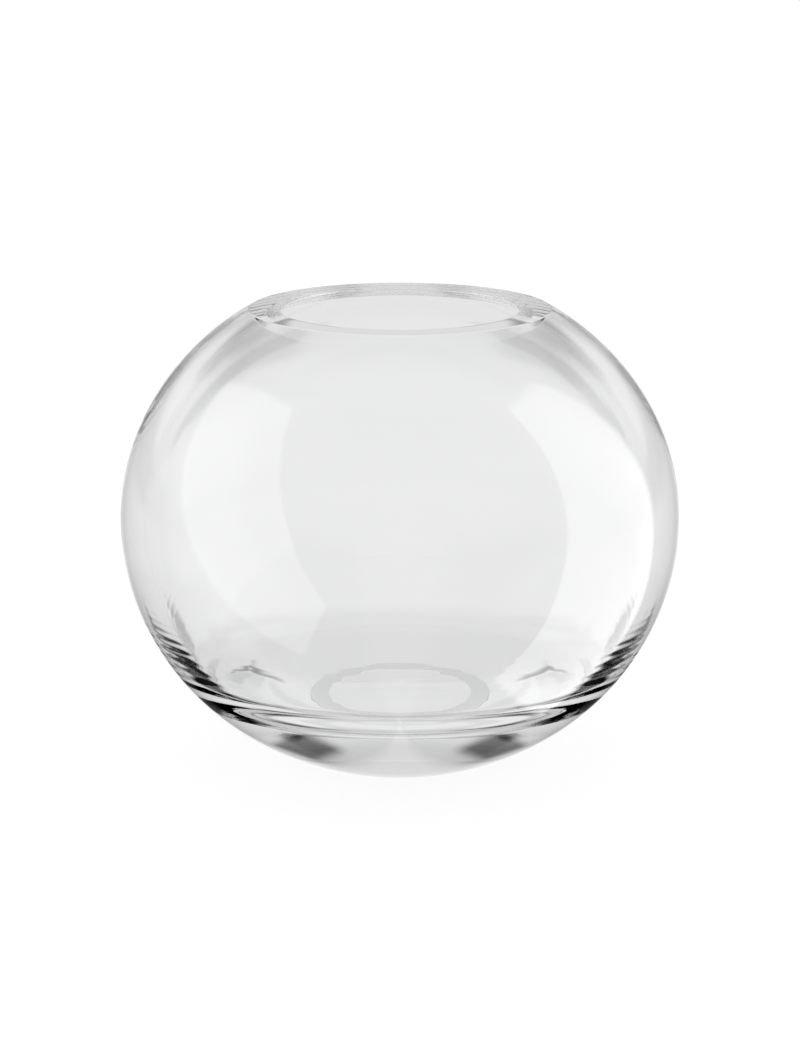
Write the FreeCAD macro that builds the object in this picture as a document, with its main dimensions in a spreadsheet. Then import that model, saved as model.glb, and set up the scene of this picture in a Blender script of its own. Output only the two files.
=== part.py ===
"""Rose bowl vase: one piece of clear blown glass.

The outside is a squat ball, two half ovals turned about +Z that meet at its widest ring. It is
cut flat at the mouth and ground flat at the foot. The hollow is a bubble with ovals of its own,
because the glass gathers in the base: thin at the rim, thicker at the belly and heavy under a
flat floor. The cut rim is rounded by fire on both edges, and a shallow polished dish under the
foot leaves the ring that the vase stands on. The origin is the middle of that ring, on the table.
"""

import FreeCAD
import Part
import Sketcher

import math
import os

NODE = "glass_bowl"

# Millimetres
SIZES = {
    "body_diameter": 152.0,  # widest ring of the ball
    "body_height": 124.0,  # table to cut rim
    "widest_height": 66.5,  # table to widest ring
    "rim_diameter": 81.0,  # outer edge of the cut rim
    "mouth_cut_diameter": 58.0,  # inner edge of the cut rim, before fire rounds it to 64
    "foot_diameter": 50.0,  # flat ground foot, before its edge is rounded
    "belly_wall": 6.2,  # glass at the widest ring
    "floor_edge_wall": 8.0,  # glass beside the floor's edge, before that corner is rounded
    "base_thickness": 22.6,  # table to the floor of the hollow
    "floor_corner_radius": 20.0,  # where the floor turns up into the side
    "dish_diameter": 40.0,  # polished dish under the foot
    "dish_depth": 0.9,
    "rim_outer_round": 1.0,
    "rim_inner_round": 0.8,
    "foot_round": 2.0,
}

# What follows from the sizes, as formulas on the sheet
RULES = {
    "belly": "body_diameter / 2",
    "rim_radius": "rim_diameter / 2",
    "foot_radius": "foot_diameter / 2",
    "mouth_cut_radius": "mouth_cut_diameter / 2",
    "shoulder_height": "body_height - widest_height",
    "ball_depth": "widest_height / sqrt(1 - (foot_radius / belly)^2)",
    "ball_rise": "shoulder_height / sqrt(1 - (rim_radius / belly)^2)",
    "floor_depth": "widest_height - base_thickness",
    "hollow_belly": "belly - belly_wall",
    "floor_edge": "belly * sqrt(1 - (floor_depth / ball_depth)^2) - floor_edge_wall",
    "hollow_depth": "floor_depth / sqrt(1 - (floor_edge / hollow_belly)^2)",
    "hollow_rise": "shoulder_height / sqrt(1 - (mouth_cut_radius / hollow_belly)^2)",
    "hollow_crown": "widest_height + hollow_rise",
    "dish_ball_radius": "(dish_diameter^2 / 4 + dish_depth^2) / (2 * dish_depth)",
}


def add_sizes(doc):
    """The driving sizes as plain numbers in a sheet, each cell named, then the rules on them."""
    sheet = doc.addObject("Spreadsheet::Sheet", "Sizes")
    cells = [(name, str(value)) for name, value in SIZES.items()]
    cells += [(name, f"={rule}") for name, rule in RULES.items()]
    for row, (name, content) in enumerate(cells, start=1):
        sheet.set(f"A{row}", name)
        sheet.set(f"B{row}", content)
        sheet.setAlias(f"B{row}", name)
    doc.recompute()
    return sheet


class Profile:
    """A half section on the body's XZ plane, with the vase's own axis as its vertical axis.

    Curves run end to end in the order they are drawn. Points and sizes are named cells.
    """

    # A curve's points have their place in this list as their number in a constraint
    points = ("curve", "start", "end", "centre")

    def __init__(self, body, name, sheet):
        self.sketch = body.newObject("Sketcher::SketchObject", name)
        plane = next(f for f in body.Origin.OriginFeatures if f.Role == "XZ_Plane")
        self.sketch.AttachmentSupport = [(plane, "")]
        self.sketch.MapMode = "FlatFace"
        self.sheet = sheet

    def cell(self, name):
        return getattr(self.sheet, name) if name else 0.0

    def line(self, start, end):
        first, last = (FreeCAD.Vector(self.cell(x), self.cell(y), 0) for x, y in (start, end))
        return self.sketch.addGeometry(Part.LineSegment(first, last), False)

    def oval(self, across, up, start, end):
        """Arc of an oval centred on the axis at the widest ring, anticlockwise."""
        half_width, half_height = self.cell(across), self.cell(up)
        middle = FreeCAD.Vector(0, self.cell("widest_height"), 0)
        level, upright = FreeCAD.Vector(half_width, 0, 0), FreeCAD.Vector(0, half_height, 0)
        angles = [
            math.atan2((self.cell(y) - middle.y) / half_height, self.cell(x) / half_width)
            for x, y in (start, end)
        ]
        wide = half_width > half_height
        if wide:
            ellipse = Part.Ellipse(middle + level, middle + upright, middle)
        else:
            ellipse = Part.Ellipse(middle + upright, middle - level, middle)
            angles = [angle - math.radians(90) for angle in angles]
        arc = self.sketch.addGeometry(Part.ArcOfEllipse(ellipse, *angles), False)
        self.sketch.exposeInternalGeometry(arc)
        upright_line = self.sketch.GeometryCount - (3 if wide else 4)
        self.hold("PointOnObject", arc, "centre", "axis")
        self.height(arc, "centre", "widest_height")
        self.hold("Vertical", upright_line)
        self.size("Distance", upright_line, value=2 * half_height, rule=f"2 * Sizes.{up}")
        return arc

    def numbers(self, references):
        """Sketcher's numbers for curves and points; the axes and origin have fixed ones."""
        known = {"origin": (-1, 1), "table": (-1,), "axis": (-2,)}
        for reference in references:
            if reference in known:
                yield from known[reference]
            else:
                yield self.points.index(reference) if isinstance(reference, str) else reference

    def hold(self, kind, *references):
        """A constraint without a size."""
        self.sketch.addConstraint(Sketcher.Constraint(kind, *self.numbers(references)))

    def size(self, kind, *references, value, rule):
        """A dimension, drawn at value and from then on following a rule on the sheet."""
        constraint = Sketcher.Constraint(kind, *self.numbers(references), value)
        self.sketch.setExpression(f"Constraints[{self.sketch.addConstraint(constraint)}]", rule)

    def height(self, curve, point, name):
        rule = f"Sizes.{name}"
        self.size("DistanceY", "origin", curve, point, value=self.cell(name), rule=rule)

    def reach(self, curve, point, name):
        rule = f"Sizes.{name}"
        self.size("DistanceX", "origin", curve, point, value=self.cell(name), rule=rule)

    def join(self, *curves):
        """Each curve's end is the start of the next, and the last one's of the first."""
        for curve, following in zip(curves, curves[1:] + curves[:1]):
            self.hold("Coincident", curve, "end", following, "start")


def draw_outside(body, sheet):
    """Foot, ball and cut rim: everything that the outside shows."""
    profile = Profile(body, "OutsideProfile", sheet)
    centre, foot = (None, None), ("foot_radius", None)
    widest, rim = ("belly", "widest_height"), ("rim_radius", "body_height")
    base = profile.line(centre, foot)
    below = profile.oval("belly", "ball_depth", foot, widest)
    above = profile.oval("belly", "ball_rise", widest, rim)
    top = profile.line(rim, (None, "body_height"))
    core = profile.line((None, "body_height"), centre)
    profile.join(base, below, above, top, core)
    profile.hold("Coincident", base, "start", "origin")
    profile.hold("Horizontal", base)
    profile.hold("Horizontal", top)
    profile.hold("Vertical", core)
    profile.height(top, "start", "body_height")
    profile.height(below, "end", "widest_height")
    profile.reach(below, "end", "belly")
    return profile.sketch


def draw_hollow(body, sheet):
    """Flat floor and bubble; the bubble runs on past the rim to its own top."""
    profile = Profile(body, "HollowProfile", sheet)
    middle, edge = (None, "base_thickness"), ("floor_edge", "base_thickness")
    widest, crown = ("hollow_belly", "widest_height"), (None, "hollow_crown")
    floor = profile.line(middle, edge)
    below = profile.oval("hollow_belly", "hollow_depth", edge, widest)
    above = profile.oval("hollow_belly", "hollow_rise", widest, crown)
    core = profile.line(crown, middle)
    profile.join(floor, below, above, core)
    profile.hold("PointOnObject", floor, "start", "axis")
    profile.hold("PointOnObject", core, "start", "axis")
    profile.hold("Horizontal", floor)
    profile.height(floor, "start", "base_thickness")
    profile.height(below, "end", "widest_height")
    profile.reach(below, "end", "hollow_belly")
    return profile.sketch


def turn(body, kind, name, sketch):
    """A full turn of a sketch about the vase's axis, added or cut away."""
    feature = body.newObject(kind, name)
    feature.Profile = sketch
    feature.ReferenceAxis = (sketch, ["V_Axis"])
    feature.Angle = 360
    sketch.Visibility = False
    feature.Document.recompute()
    return feature


def grind_dish(body):
    """A ball of the dish's own radius, sunk into the foot by the dish's depth."""
    feature = body.newObject("PartDesign::SubtractiveSphere", "Dish")
    table = next(f for f in body.Origin.OriginFeatures if f.Role == "XY_Plane")
    feature.AttachmentSupport = [(table, "")]
    feature.MapMode = "FlatFace"
    feature.setExpression("Radius", "Sizes.dish_ball_radius")
    centre_rule = "Sizes.dish_depth - Sizes.dish_ball_radius"
    feature.setExpression("AttachmentOffset.Base.z", centre_rule)
    feature.Document.recompute()
    return feature


def ring_edge(feature, radius, height):
    """Name of the round edge nearest to a ring about the axis."""
    def distance(numbered_edge):
        box = numbered_edge[1].BoundBox
        return math.hypot(box.XMax - radius, box.ZMin - height, box.ZMax - height)

    number, _ = min(enumerate(feature.Shape.Edges, start=1), key=distance)
    return f"Edge{number}"


def round_edge(body, name, radius, height, size_name):
    """Rounds one edge that runs round the vase."""
    carrier = body.Tip
    feature = body.newObject("PartDesign::Fillet", name)
    feature.Base = (carrier, [ring_edge(carrier, radius, height)])
    feature.setExpression("Radius", f"Sizes.{size_name}")
    feature.Document.recompute()
    return feature


def make_bowl(doc, sheet):
    """The ball, its hollow and dish, and the edges that blowing, fire and grinding have rounded."""
    body = doc.addObject("PartDesign::Body", "GlassBowl")
    body.Label = NODE
    turn(body, "PartDesign::Revolution", "Ball", draw_outside(body, sheet))
    turn(body, "PartDesign::Groove", "Hollow", draw_hollow(body, sheet))
    grind_dish(body)
    height = sheet.body_height
    round_edge(body, "FloorCorner", sheet.floor_edge, sheet.base_thickness, "floor_corner_radius")
    round_edge(body, "RimOuterRound", sheet.rim_radius, height, "rim_outer_round")
    round_edge(body, "RimInnerRound", sheet.mouth_cut_radius, height, "rim_inner_round")
    round_edge(body, "FootRound", sheet.foot_radius, 0, "foot_round")
    return body


def check(doc, bodies):
    """Stops if any feature failed or any piece isn't one sound solid."""
    failed = [o.Name for o in doc.Objects if {"Invalid", "Error"} & set(o.State)]
    if failed:
        raise RuntimeError(f"failed features: {failed}")
    for body in bodies:
        shape = body.Shape
        if shape.isNull() or not shape.isValid() or len(shape.Solids) != 1:
            raise RuntimeError(f"{body.Label} is not one sound solid")
        print(body.Label, "volume cm3", round(shape.Volume / 1000, 1), shape.BoundBox)


document = FreeCAD.newDocument("RoseBowlVase")
sizes_sheet = add_sizes(document)
pieces = [make_bowl(document, sizes_sheet)]
document.recompute()
check(document, pieces)

os.makedirs("parts", exist_ok=True)
for piece in pieces:
    piece.Shape.exportStep(f"parts/{piece.Label}.step")
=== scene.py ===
"""Rose bowl vase of clear blown glass, on a white table, in soft studio light."""

import math

import bmesh
import bpy
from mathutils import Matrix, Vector


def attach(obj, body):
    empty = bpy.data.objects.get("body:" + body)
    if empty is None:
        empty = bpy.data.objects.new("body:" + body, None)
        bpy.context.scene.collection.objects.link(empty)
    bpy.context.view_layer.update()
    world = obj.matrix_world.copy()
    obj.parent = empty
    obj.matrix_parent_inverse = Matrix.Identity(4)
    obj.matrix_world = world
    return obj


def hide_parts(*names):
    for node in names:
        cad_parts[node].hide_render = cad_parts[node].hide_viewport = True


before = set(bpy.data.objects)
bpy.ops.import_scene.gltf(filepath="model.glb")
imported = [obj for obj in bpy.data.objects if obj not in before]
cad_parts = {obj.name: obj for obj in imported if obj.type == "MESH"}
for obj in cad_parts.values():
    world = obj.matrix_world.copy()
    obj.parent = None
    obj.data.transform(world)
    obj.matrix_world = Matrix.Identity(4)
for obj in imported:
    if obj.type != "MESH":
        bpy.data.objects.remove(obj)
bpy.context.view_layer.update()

# The bowl: one gather of clear soda-lime glass, blown into a squat ball with a bubble inside,
# cracked off and fire-polished at the mouth, and ground flat at the foot with a shallow polished
# dish. Its half section is worked out from the sizes that the solid has, and turned.
millimetre = 0.001
belly_radius = 76 * millimetre
rim_height = 124 * millimetre
widest_height = 66.5 * millimetre
rim_radius = 40.5 * millimetre
mouth_cut_radius = 29 * millimetre
foot_radius = 25 * millimetre
belly_wall = 6.2 * millimetre
floor_edge_wall = 8 * millimetre
base_thickness = 22.6 * millimetre
floor_corner_radius = 20 * millimetre
dish_radius = 20 * millimetre
dish_depth = 0.9 * millimetre
rim_outer_round = 1.0 * millimetre
rim_inner_round = 0.8 * millimetre
foot_round = 2.0 * millimetre
same_place = 0.001 * millimetre

# The skin's waves, which grow above the base and fade below the rim, and its finer relief
wave_depth = 0.5 * millimetre
wave_length = 45 * millimetre
waves_from, waves_rise = 12 * millimetre, 20 * millimetre
waves_to, waves_fall = rim_height - 2 * millimetre, 12 * millimetre
ring_spacing = 2.4 * millimetre
ring_relief, swirl_relief = 0.01 * millimetre, 0.03 * millimetre

glass_greener, glass_clearer = (0.981, 0.985, 0.984, 1), (0.995, 0.997, 0.996, 1)
ground_glass, ground_roughness = (0.8, 0.81, 0.81, 1), 0.4
refractive_index = 1.5


class Oval:
    """Half of an oval at the widest ring: how far it reaches out, and up or down."""

    def __init__(self, across, up):
        self.across, self.up = across, up

    def point(self, angle):
        return Vector((self.across * math.cos(angle), 0, widest_height + self.up * math.sin(angle)))

    def outward(self, angle):
        return Vector((math.cos(angle) / self.across, 0, math.sin(angle) / self.up)).normalized()

    def angle_at(self, height):
        return math.asin((height - widest_height) / self.up)

    def run(self, start, end, count):
        return [self.point(start + (end - start) * i / count) for i in range(count + 1)]

    def rounding(self, height, level, radius, side, count):
        """Round edge, with its centre at a level, between the oval and its level cut at a height.

        The oval is inside the round edge for side 1 and outside it for side -1. The oval's own
        angle where the two meet comes back with the edge.
        """
        near_cut, near_belly = self.angle_at(height), 0.0
        halvings = 60
        for _ in range(halvings):
            meeting = (near_cut + near_belly) / 2
            centre = self.point(meeting) + self.outward(meeting) * side * radius
            if (centre.z - level) * (height - widest_height) > 0:
                near_cut = meeting
            else:
                near_belly = meeting
        touch = self.point(near_cut)
        first = math.copysign(math.radians(90), height - level)
        last = math.atan2(touch.z - centre.z, touch.x - centre.x)
        turn = (last - first + math.pi) % (2 * math.pi) - math.pi
        angles = [first + turn * i / count for i in range(count + 1)]
        edge = [centre + Vector((math.cos(a), 0, math.sin(a))) * radius for a in angles]
        return edge, near_cut


def oval_through(across, radius, height):
    """The half oval with that reach whose level cut at a height has that radius."""
    return Oval(across, abs(height - widest_height) / math.sqrt(1 - (radius / across) ** 2))


def flat(start, end, edge=0.3 * millimetre):
    """A level stretch with a short first and last step, which keeps its shading flat."""
    run = (end - start).normalized()
    return [start, start + run * edge, (start + end) / 2, end - run * edge, end]


def bowl_section():
    """Points of the half section, from the middle of the dish round to the middle of the floor."""
    below = oval_through(belly_radius, foot_radius, 0)
    above = oval_through(belly_radius, rim_radius, rim_height)
    hollow_belly = belly_radius - belly_wall
    floor_edge = below.point(below.angle_at(base_thickness)).x - floor_edge_wall
    hollow_below = oval_through(hollow_belly, floor_edge, base_thickness)
    hollow_above = oval_through(hollow_belly, mouth_cut_radius, rim_height)

    ball = (dish_radius ** 2 + dish_depth ** 2) / (2 * dish_depth)
    half_angle = math.asin(dish_radius / ball)
    turns = [half_angle * share for share in (0, 0.2, 0.4, 0.6, 0.8, 0.93, 0.985, 1)]
    dish = [Vector((ball * math.sin(a), 0, dish_depth - ball + ball * math.cos(a))) for a in turns]
    foot, foot_end = below.rounding(0, foot_round, foot_round, side=-1, count=6)
    level = rim_height - rim_outer_round
    rim, rim_end = above.rounding(rim_height, level, rim_outer_round, side=-1, count=8)
    level = rim_height - rim_inner_round
    lip, lip_end = hollow_above.rounding(rim_height, level, rim_inner_round, side=1, count=16)
    level = base_thickness + floor_corner_radius
    corner, corner_end = hollow_below.rounding(
        base_thickness, level, floor_corner_radius, side=-1, count=40
    )
    points = dish + flat(dish[-1], foot[0]) + foot
    points += below.run(foot_end, 0, count=70) + above.run(0, rim_end, count=64)
    points += rim[::-1] + flat(rim[0], lip[0]) + lip
    points += hollow_above.run(lip_end, 0, count=60) + hollow_below.run(0, corner_end, count=50)
    points += corner[::-1] + flat(corner[0], Vector((0, 0, base_thickness)))
    apart = [(p - before).length > same_place for before, p in zip(points, points[1:])]
    return [p for p, kept in zip(points, [True] + apart) if kept]


class Number:
    """A number in a node tree. Arithmetic on it adds the tree's Math nodes."""

    def __init__(self, tree, socket):
        self.tree, self.socket = tree, socket

    def math(self, operation, *values):
        """This number, and others after it, through one of the Math node's operations."""
        sockets = dict(enumerate((self, *values)))
        return self.tree.number("ShaderNodeMath", {"operation": operation}, sockets)

    def __add__(self, other):
        return self.math("ADD", other)

    def __sub__(self, other):
        return self.math("SUBTRACT", other)

    def __rsub__(self, other):
        return self.math("MULTIPLY_ADD", -1, other)

    def __mul__(self, other):
        return self.math("MULTIPLY", other)

    def __rtruediv__(self, other):
        return self.math("POWER", -1) * other

    def __abs__(self):
        return self.math("ABSOLUTE")


class Tree:
    """A tree of nodes: a modifier's, a material's or the world's."""

    def __init__(self, tree):
        self.tree = tree

    def node(self, kind, settings=None, sockets=None):
        """A new node, with its settings made first and then its sockets' values or links."""
        made = self.tree.nodes.new(kind)
        for name, setting in (settings or {}).items():
            setattr(made, name, setting)
        for name, value in (sockets or {}).items():
            self.feed(made.inputs[name], value)
        return made

    def feed(self, socket, value):
        """Links a socket to another one, or sets it to a plain value."""
        value = value.socket if isinstance(value, Number) else value
        if isinstance(value, bpy.types.NodeSocket):
            self.tree.links.new(value, socket)
        else:
            socket.default_value = value

    def number(self, kind, settings=None, sockets=None, output=0):
        """One output of a new node, as a number that arithmetic works on."""
        return Number(self, self.node(kind, settings, sockets).outputs[output])

    def ramp(self, value, start, end):
        """0 before start and 1 after end, with a soft rise between the two."""
        sockets = {"Value": value, "From Min": start, "From Max": end}
        return self.number("ShaderNodeMapRange", {"interpolation_type": "SMOOTHSTEP"}, sockets)

    def mix(self, factor, first, second):
        """The first colour for factor 0 and the second for 1."""
        settings, sockets = {"data_type": "RGBA"}, {"Factor": factor, 6: first, 7: second}
        return self.node("ShaderNodeMix", settings, sockets).outputs[2]


def turning_tree():
    """Turns a section about +Z, and lets the skin wave a little, as hand-blown glass does."""
    group = bpy.data.node_groups.new("turned_on_the_blowpipe", "GeometryNodeTree")
    for name, kind in (
        ("Section", "Geometry"),
        ("Segments", "Int"),
        ("Wave Depth", "Float"),
        ("Wave Length", "Float"),
        ("Seed", "Float"),
        ("Glass", "Material"),
    ):
        group.interface.new_socket(name, in_out="INPUT", socket_type=f"NodeSocket{kind}")
    group.interface.new_socket("Bowl", in_out="OUTPUT", socket_type="NodeSocketGeometry")
    tree = Tree(group)
    given = tree.node("NodeGroupInput").outputs

    # A small circle carries the section round, so the section moves in by the circle's radius
    circle_radius = 1 * millimetre
    profile = tree.node("GeometryNodeMeshToCurve", None, {"Mesh": given["Section"]})
    upright = {"Geometry": profile.outputs[0], "Rotation": (math.radians(90), 0, 0)}
    profile = tree.node("GeometryNodeTransform", None, upright)
    moved_in = {"Geometry": profile.outputs[0], "Translation": (-circle_radius, 0, 0)}
    profile = tree.node("GeometryNodeTransform", None, moved_in)
    circle = {"Resolution": given["Segments"], "Radius": circle_radius}
    path = tree.node("GeometryNodeCurvePrimitiveCircle", None, circle)
    path = tree.node("GeometryNodeSetCurveNormal", {"mode": "Z_UP"}, {"Curve": path.outputs[0]})
    curves = {"Curve": path.outputs[0], "Profile Curve": profile.outputs[0]}
    bowl = tree.node("GeometryNodeCurveToMesh", None, curves)
    closed = {"Geometry": bowl.outputs[0], "Distance": same_place}
    bowl = tree.node("GeometryNodeMergeByDistance", None, closed)

    # The waves push the skin in, level with the table, and only where the glass was blown freely
    place = tree.node("GeometryNodeInputPosition").outputs[0]
    scale = 1 / Number(tree, given["Wave Length"])
    noise = {"Vector": place, "W": given["Seed"], "Scale": scale, "Detail": 1.0}
    wave = tree.number("ShaderNodeTexNoise", {"noise_dimensions": "4D"}, noise)
    attribute = {"Name": "freely_blown"}
    free = tree.number("GeometryNodeInputNamedAttribute", {"data_type": "FLOAT"}, attribute)
    inward = wave * Number(tree, given["Wave Depth"]) * free
    axes = tree.node("ShaderNodeSeparateXYZ", None, {0: place}).outputs
    level = tree.node("ShaderNodeCombineXYZ", None, {"X": axes["X"], "Y": axes["Y"]}).outputs[0]
    outward = tree.node("ShaderNodeVectorMath", {"operation": "NORMALIZE"}, {0: level}).outputs[0]
    scaled = {0: outward, "Scale": inward * -1}
    offset = tree.node("ShaderNodeVectorMath", {"operation": "SCALE"}, scaled).outputs[0]
    waved = {"Geometry": bowl.outputs[0], "Offset": offset}
    bowl = tree.node("GeometryNodeSetPosition", None, waved)
    bowl = tree.node("GeometryNodeSetShadeSmooth", None, {"Geometry": bowl.outputs[0]})
    bowl = tree.node("GeometryNodeRealizeInstances", None, {"Geometry": bowl.outputs[0]})
    glazed = {"Geometry": bowl.outputs[0], "Material": given["Glass"]}
    bowl = tree.node("GeometryNodeSetMaterial", None, glazed)
    tree.node("NodeGroupOutput", None, {"Bowl": bowl.outputs[0]})
    return group


def make_clear_glass():
    """Colourless glass: bright fire-polished skin, and a ground ring that is slightly dull."""
    material = bpy.data.materials.new("clear_glass")
    material.use_nodes = True
    tree = Tree(material.node_tree)
    glass = material.node_tree.nodes["Principled BSDF"]
    glass.inputs["Transmission Weight"].default_value = 1
    glass.inputs["IOR"].default_value = refractive_index
    place = tree.node("ShaderNodeTexCoord").outputs["Object"]
    height = tree.number("ShaderNodeSeparateXYZ", None, {0: place}, output=2)

    # Colour, and the ring that was ground on a wheel
    cloud = tree.number("ShaderNodeTexNoise", None, {"Vector": place, "Scale": 16.0})
    ground = 1 - tree.ramp(height, 0.01 * millimetre, 0.03 * millimetre)
    tint = tree.mix(ground, tree.mix(cloud, glass_greener, glass_clearer), ground_glass)
    tree.feed(glass.inputs["Base Color"], tint)
    tree.feed(glass.inputs["Roughness"], ground * ground_roughness)

    # Fine rings left low on the wall by turning, in patches, and a slow swirl everywhere
    low_wall = tree.ramp(height, 30 * millimetre, 36 * millimetre)
    low_wall = low_wall * (1 - tree.ramp(height, 40 * millimetre, 48 * millimetre))
    patch = tree.number("ShaderNodeTexNoise", None, {"Vector": place, "Scale": 70.0})
    drift = tree.number("ShaderNodeTexNoise", None, {"Vector": place, "Scale": 25.0})
    rings = (height * (2 * math.pi / ring_spacing) + drift * 4).math("SINE")
    swirl = tree.number("ShaderNodeTexNoise", None, {"Vector": place, "Scale": 60.0, "Detail": 1.0})
    relief = rings * low_wall * patch * (ring_relief / millimetre)
    relief = relief + swirl * (swirl_relief / millimetre)
    bump = tree.node("ShaderNodeBump", None, {"Height": relief, "Distance": millimetre})
    tree.feed(glass.inputs["Normal"], bump.outputs[0])

    # Daylight goes through clear glass, so its shadow is light
    shadow = tree.node("ShaderNodeLightPath").outputs["Is Shadow Ray"]
    passed = tree.node("ShaderNodeBsdfTransparent", None, {"Color": (0.9, 0.9, 0.9, 1)}).outputs[0]
    surfaces = {0: shadow, 1: glass.outputs[0], 2: passed}
    surface = tree.node("ShaderNodeMixShader", None, surfaces).outputs[0]
    tree.feed(material.node_tree.nodes["Material Output"].inputs["Surface"], surface)
    return material


section = bowl_section()
section_mesh = bpy.data.meshes.new("bowl_section")
section_mesh.from_pydata(section, [(i, i + 1) for i in range(len(section) - 1)], [])
freely_blown = section_mesh.attributes.new("freely_blown", "FLOAT", "POINT")
for share, point in zip(freely_blown.data, section):
    over_base = (point.z - waves_from) / waves_rise
    under_rim = (waves_to - point.z) / waves_fall
    share.value = max(min(over_base, under_rim, 1), 0)
bowl = bpy.data.objects.new("blown_bowl", section_mesh)
bpy.context.scene.collection.objects.link(bowl)
turn = bowl.modifiers.new("turn", "NODES")
turn.node_group = turning_tree()
identifiers = {item.name: item.identifier for item in turn.node_group.interface.items_tree}
for name, value in (
    ("Segments", 280),
    ("Wave Depth", wave_depth),
    ("Wave Length", wave_length),
    ("Seed", 4.0),
    ("Glass", make_clear_glass()),
):
    turn[identifiers[name]] = value
bpy.context.view_layer.update()
turned = bowl.evaluated_get(bpy.context.evaluated_depsgraph_get())
bowl_mesh = bpy.data.meshes.new_from_object(turned)
bowl.modifiers.remove(turn)
bowl.data = bowl_mesh
skin = bmesh.new()
skin.from_mesh(bowl_mesh)
bmesh.ops.recalc_face_normals(skin, faces=skin.faces)
skin.to_mesh(bowl_mesh)
skin.free()
bowl_mesh.attributes.remove(bowl_mesh.attributes["freely_blown"])
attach(bowl, "root")
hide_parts("glass_bowl")

# Light turns many times inside the thick rim and base, and is followed all the way out: cut off
# after the usual 4 mirrorings, both would look black.
light_paths = bpy.context.scene.cycles
light_paths.max_bounces = light_paths.glossy_bounces = light_paths.transmission_bounces = 32

# A white table that runs out of sight. The camera sees it as white as the backdrop, with a light
# shadow under the bowl, and the glass looks past it into the studio.
table_mesh = bpy.data.meshes.new("table")
reach, below_foot = 6, 0.05 * millimetre
glow_share = 0.85
corners = [(-reach, -reach, 0), (reach, -reach, 0), (reach, reach, 0), (-reach, reach, 0)]
table_mesh.from_pydata(corners, [], [(0, 1, 2, 3)])
table = bpy.data.objects.new("table", table_mesh)
table.location.z = -below_foot
bpy.context.scene.collection.objects.link(table)
white_table = bpy.data.materials.new("white_table")
white_table.use_nodes = True
cloth = Tree(white_table.node_tree)
paint = cloth.node("ShaderNodeBsdfDiffuse", None, {"Color": (1, 1, 1, 1)}).outputs[0]
glow = cloth.node("ShaderNodeEmission", None, {"Color": (1, 1, 1, 1)}).outputs[0]
seen = cloth.number("ShaderNodeLightPath", output="Is Camera Ray")
shares = {0: seen * glow_share, 1: paint, 2: glow}
both = cloth.node("ShaderNodeMixShader", None, shares).outputs[0]
cloth.feed(white_table.node_tree.nodes["Material Output"].inputs["Surface"], both)
table_mesh.materials.append(white_table)
table.visible_glossy = table.visible_transmission = False

# The studio: white to the eye on every side. The glass sees a slightly grey room. Behind the bowl,
# left and right, stand black cards low down and grey ones high up, with a screen between them, and
# the front, the ceiling, the horizon and the floor are a little duller.
room_level = 0.92
studio = bpy.data.worlds.new("studio")
bpy.context.scene.world = studio
studio.use_nodes = True
background = studio.node_tree.nodes["Background"]
background.inputs["Color"].default_value = (1, 1, 1, 1)
sky = Tree(studio.node_tree)
toward = sky.node("ShaderNodeTexCoord").outputs["Generated"]
axes = sky.node("ShaderNodeSeparateXYZ", None, {0: toward}).outputs
across, along, up = (Number(sky, axis) for axis in axes)
bearing = abs(across).math("ARCTAN2", abs(along)) * (180 / math.pi)
rise = up.math("ARCSINE") * (180 / math.pi)
behind = sky.ramp(along, -0.2, 0.2)


def between(value, low, high, soft):
    """1 from low to high and 0 past them, with edges as wide as soft says."""
    half = soft / 2
    return sky.ramp(value, low - half, low + half) - sky.ramp(value, high - half, high + half)


def cards(near, far, low, high, soft=10):
    """1 on two cards, left and right behind the bowl, and 0 round them."""
    return between(bearing, near, far, soft) * between(rise, low, high, soft) * behind


# Places are in degrees, and the last factor is the share of the light that is taken away
black_edge = sky.ramp(rise, -60.5, -55.5) - sky.ramp(rise + bearing * 0.55, -11, -7)
black_cards = between(bearing, 23.5, 41, soft=5) * black_edge * behind * 0.99
narrow_cards = cards(18.5, 25, -26, -20.5, soft=3) * 0.75
grey_cards = cards(29, 54, 28, 54) * 0.92 + cards(16, 39, 15, 31) * 0.7
screen = (1 - sky.ramp(bearing, 14, 24)) * between(rise, 0, 30, soft=8) * behind * 0.3
front = (1 - sky.ramp(along, -0.35, -0.05)) * 0.25
ceiling = sky.ramp(rise, 30, 62) * 0.26
horizon = between(rise, -8.5, 0, soft=4) * 0.14
floor = (1 - sky.ramp(rise, -15, -5)) * 0.05 + (1 - sky.ramp(rise, -34, -20)) * 0.09
room = (1 - black_cards) * (1 - narrow_cards) * (1 - grey_cards) * (1 - screen)
room = room * (1 - front) * (1 - ceiling - horizon - floor) * room_level

# The skin's own mirror image of the room is darker beside the bowl, and under it at the back
beside = between(bearing, 17, 74, soft=15) * (1 - sky.ramp(rise, 0, 20)) * 0.7
under = (1 - sky.ramp(rise, -22, -15)) * sky.ramp(bearing, 3, 12) * behind * 0.9
mirrored = room * (1 - beside) * (1 - under)

ray = sky.node("ShaderNodeLightPath").outputs
by_eye, through = Number(sky, ray["Is Camera Ray"]), Number(sky, ray["Is Transmission Ray"])
off = Number(sky, ray["Is Glossy Ray"]) * (1 - through)
elsewhere = 1 - by_eye - through - off
sky.feed(background.inputs["Strength"], by_eye + elsewhere + through * room + off * mirrored)


# Two softboxes, one on each side of the bowl, and the lower half of the left one, which is
# turned down. Their light fades at the edges, and they are seen in the glass alone.
fade_from = 0.86


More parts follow.
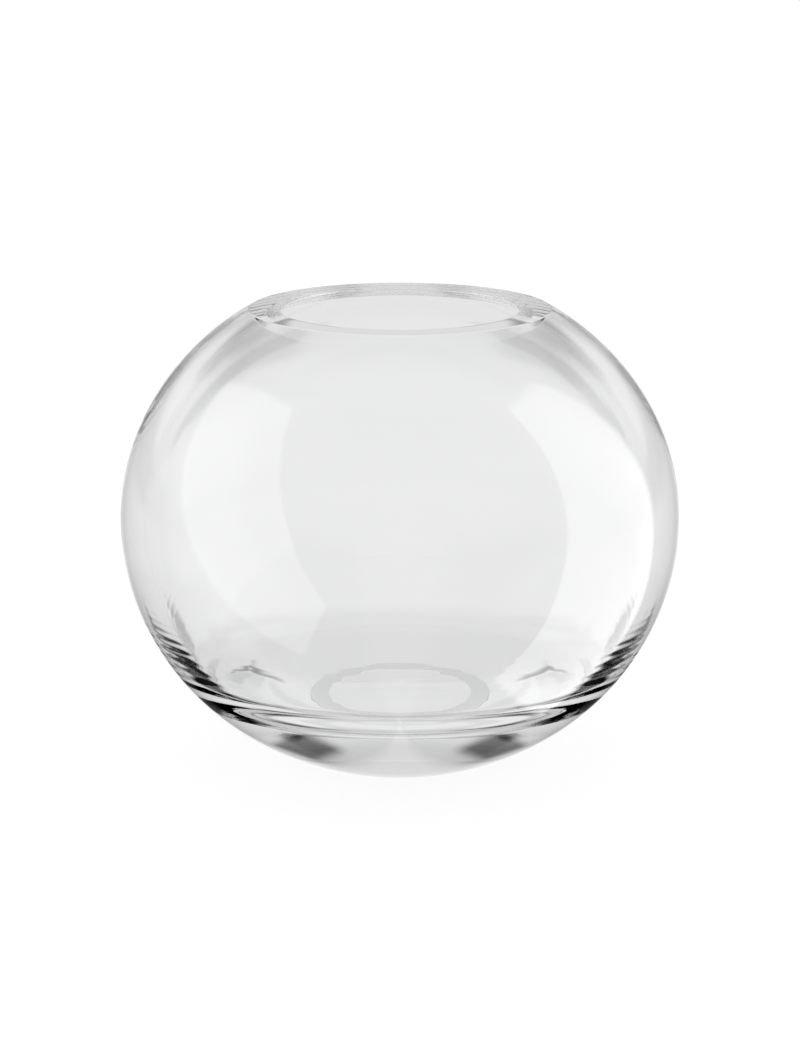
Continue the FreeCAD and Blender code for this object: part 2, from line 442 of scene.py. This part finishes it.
def softbox(name, across, outline, radiance):
    """A glowing panel that faces across, from the y and z of its corners in order round it."""
    panel_mesh = bpy.data.meshes.new(name)
    panel_mesh.from_pydata([(across, y, z) for y, z in outline], [], [(0, 1, 2, 3)])
    corner_uvs = panel_mesh.uv_layers.new(name="panel").uv
    for corner, place in zip(corner_uvs, ((-1, -1), (1, -1), (1, 1), (-1, 1))):
        corner.vector = place
    panel = bpy.data.objects.new(name, panel_mesh)
    bpy.context.scene.collection.objects.link(panel)
    cloth = bpy.data.materials.new(name)
    cloth.use_nodes = True
    tree = Tree(cloth.node_tree)
    place = tree.node("ShaderNodeUVMap", {"uv_map": "panel"}).outputs[0]
    sideways, upward, _ = tree.node("ShaderNodeSeparateXYZ", None, {0: place}).outputs
    lit = 1 - tree.ramp(abs(Number(tree, sideways)), fade_from, 1)
    lit = lit * (1 - tree.ramp(abs(Number(tree, upward)), fade_from, 1))
    clear = tree.node("ShaderNodeBsdfTransparent").outputs[0]
    glow = tree.node("ShaderNodeEmission", None, {"Strength": radiance}).outputs[0]
    surface = tree.node("ShaderNodeMixShader", None, {0: lit, 1: clear, 2: glow}).outputs[0]
    tree.feed(cloth.node_tree.nodes["Material Output"].inputs["Surface"], surface)
    panel_mesh.materials.append(cloth)
    panel.visible_camera = panel.visible_shadow = panel.visible_transmission = False


right = ((-0.45, -1.27), (0.68, -1.27), (0.24, 1.0), (-0.18, 1.15))
softbox("softbox_right", 0.7, right, radiance=2.35)
left = ((-0.851, 0.085), (-0.209, -0.341), (0.477, 0.691), (-0.165, 1.117))
softbox("softbox_left", -0.7, left, radiance=1.95)
low = ((-1.293, -0.581), (-0.651, -1.007), (-0.130, -0.222), (-0.772, 0.204))
softbox("softbox_low", -0.72, low, radiance=1.4)

# The camera stands in front of the bowl and looks down past its rim at the belly, as in the
# photograph, from far enough away for the ball to keep its outline.
distance, eye_height, looking_down = 0.9, 0.2833, 13.8
camera = bpy.data.objects.new("camera", bpy.data.cameras.new("camera"))
bpy.context.scene.collection.objects.link(camera)
camera.location = (0, -distance, eye_height)
camera.rotation_euler = (math.radians(90 - looking_down), 0, 0)
camera.data.sensor_width = 36
camera.data.lens = 115.2
camera.data.clip_start = 0.01
bpy.context.scene.camera = camera
bpy.context.scene.view_settings.view_transform = "Standard"
